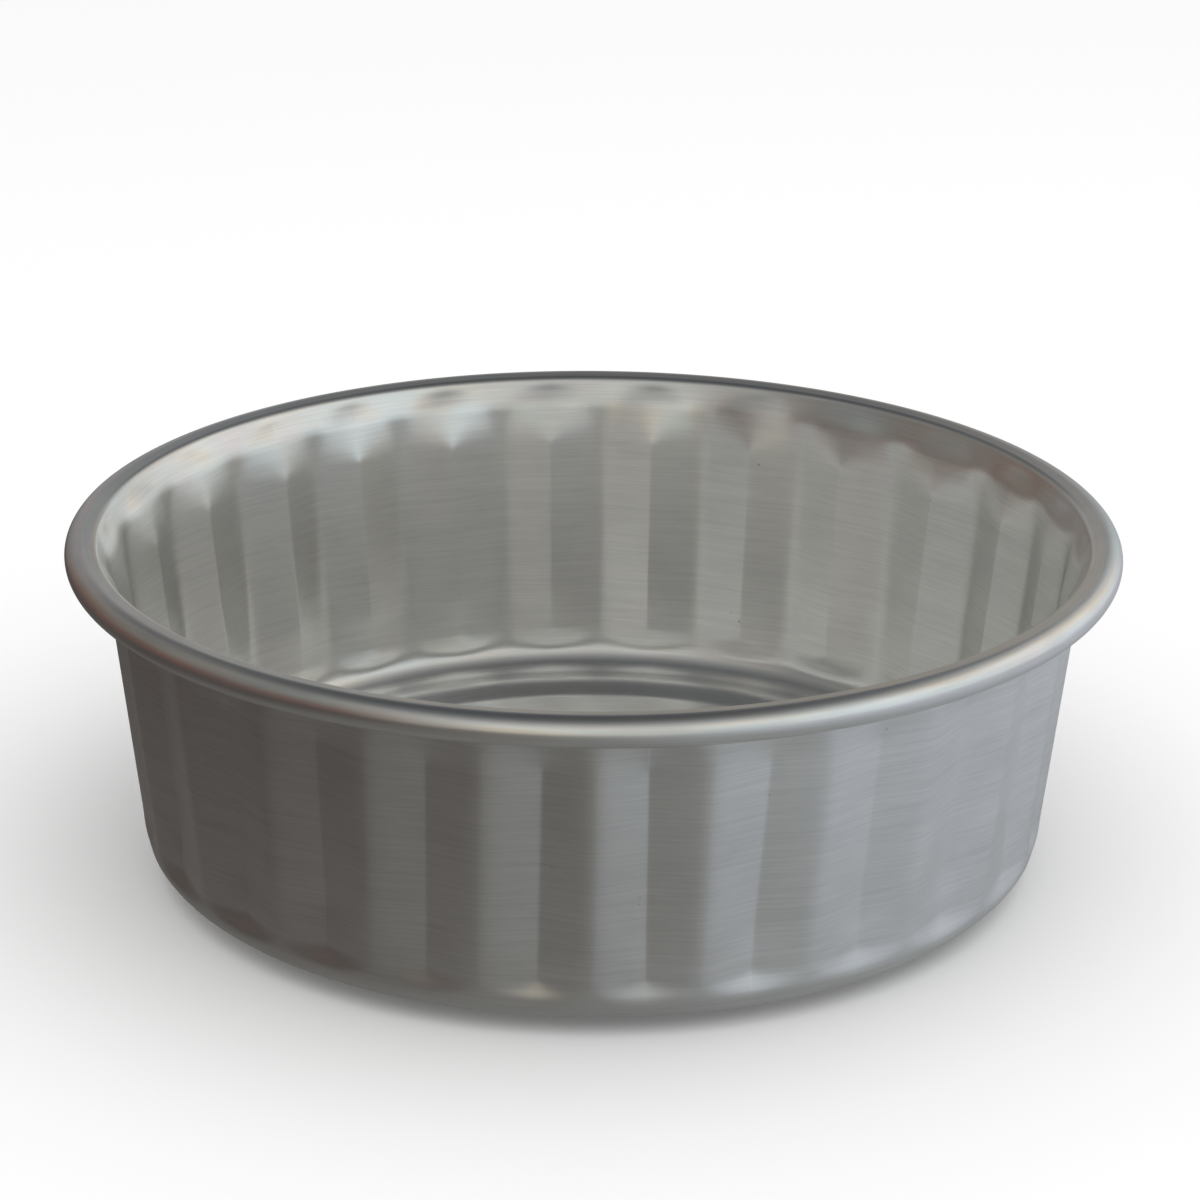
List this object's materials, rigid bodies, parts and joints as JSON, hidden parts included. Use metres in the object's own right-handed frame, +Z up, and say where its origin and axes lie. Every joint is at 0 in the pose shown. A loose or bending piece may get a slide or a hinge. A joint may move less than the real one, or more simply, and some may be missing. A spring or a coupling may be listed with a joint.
{
  "type": "cake tin",
  "caption": "Round open cake tin of bare aluminium with a stepped floor, a leaning fluted wall and a rim rolled over a wire.",
  "frame": {"origin": "middle of the underside of the floor's disc, on the plane that the tin stands on", "axes": "+Z up along the tin's axis, out of its open mouth; -Y towards the camera of the picture"},
  "size_m": [0.24, 0.24, 0.079],
  "materials": {
    "brushed_aluminium": "bare, finely turned and brushed round the axis, satin",
    "wire_steel": "drawn wire, hidden inside the rolled rim"
  },
  "bodies": {
    "root": {"fluted_shell": "brushed_aluminium", "rim_wire": "wire_steel"}
  },
  "joints": []
}
